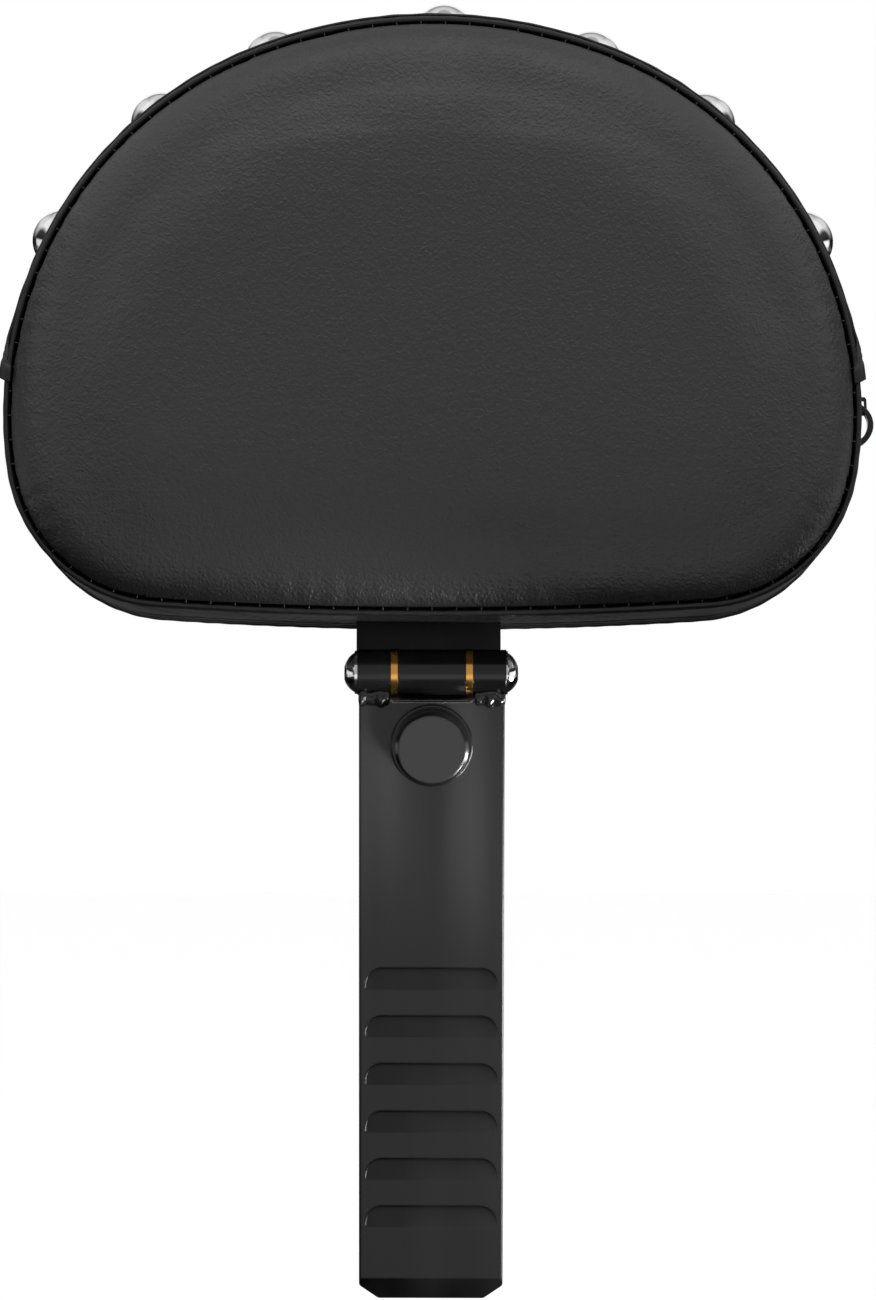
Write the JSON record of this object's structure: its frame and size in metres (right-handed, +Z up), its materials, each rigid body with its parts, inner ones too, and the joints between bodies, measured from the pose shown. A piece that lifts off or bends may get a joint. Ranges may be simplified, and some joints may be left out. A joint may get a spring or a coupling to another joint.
{
  "type": "motorcycle rider backrest",
  "caption": "Plug-in motorcycle rider backrest: padded rounded head on a three-knuckle hinge, with a knob that sets its lean and a flat notched steel post.",
  "frame": {"origin": "middle of the flat end face at the post's lower end", "axes": "+X to the object's left as the rider sits, +Y to the rear, +Z up along the post; the padded front faces -Y"},
  "size_m": [0.3033, 0.1109, 0.4545],
  "materials": {
    "black_steel": "satin black powder coat",
    "plain_steel": "plain steel",
    "bright_chrome": "polished chrome",
    "bronze": "bare bronze",
    "knob_plastic": "gloss black",
    "plywood": "bare plywood",
    "foam": "open foam",
    "black_vinyl": "grained black vinyl",
    "zip_tape": "woven black tape",
    "zip_metal": "black enamel"
  },
  "bodies": {
    "post": {"post_bar": "black_steel", "left_knuckle": "black_steel", "right_knuckle": "black_steel", "hinge_pin": "plain_steel", "left_hinge_screw": "bright_chrome", "right_hinge_screw": "bright_chrome", "left_hinge_washer": "bright_chrome", "right_hinge_washer": "bright_chrome", "left_bronze_washer": "bronze", "right_bronze_washer": "bronze", "knob_seat_ring": "black_steel"},
    "adjuster_foot": {"swivel_foot": "plain_steel"},
    "knob": {"adjuster_knob": "knob_plastic", "adjuster_screw": "plain_steel"},
    "pad": {"upper_bracket": "black_steel", "centre_knuckle": "black_steel", "backing_board": "plywood", "foam_pad": "foam", "front_cover": "black_vinyl", "edge_piping": "black_vinyl", "side_boxing": "black_vinyl", "rear_pouch": "black_vinyl", "rear_piping": "black_vinyl", "zipper_tape": "zip_tape", "zipper_slider": "zip_metal", "stud_flap": "black_vinyl", "dome_stud_1": "bright_chrome", "dome_stud_2": "bright_chrome", "dome_stud_3": "bright_chrome", "dome_stud_4": "bright_chrome", "dome_stud_5": "bright_chrome", "dome_stud_6": "bright_chrome", "dome_stud_7": "bright_chrome", "bracket_screw_1": "plain_steel", "bracket_screw_2": "plain_steel", "bracket_screw_3": "plain_steel", "bracket_screw_4": "plain_steel", "tee_nut_1": "plain_steel", "tee_nut_2": "plain_steel", "tee_nut_3": "plain_steel", "tee_nut_4": "plain_steel"},
    "pull": {"zipper_pull": "zip_metal"}
  },
  "joints": [
    {"name": "pad_fold", "type": "hinge", "parent": "post", "child": "pad", "pos_m": [0, 0, 0.2236], "axis": [1, 0, 0], "range_deg": [0, 90]},
    {"name": "foot_slide", "type": "slide", "parent": "post", "child": "adjuster_foot", "axis": [0, 1, 0], "range_m": [-0.005, 0]},
    {"name": "knob_turn", "type": "hinge", "parent": "adjuster_foot", "child": "knob", "pos_m": [0, 0, 0.1986], "axis": [0, 1, 0], "range_deg": [-1440, 0]},
    {"name": "pull_swing", "type": "hinge", "parent": "pad", "child": "pull", "pos_m": [0.15043, 0.02799, 0.31442], "axis": [0, -0.9781, 0.2079], "range_deg": [0, 120]}
  ],
  "couplings": [
    {"joint": "foot_slide", "follows": "knob_turn", "m_per_rad": 0.00019894}
  ]
}
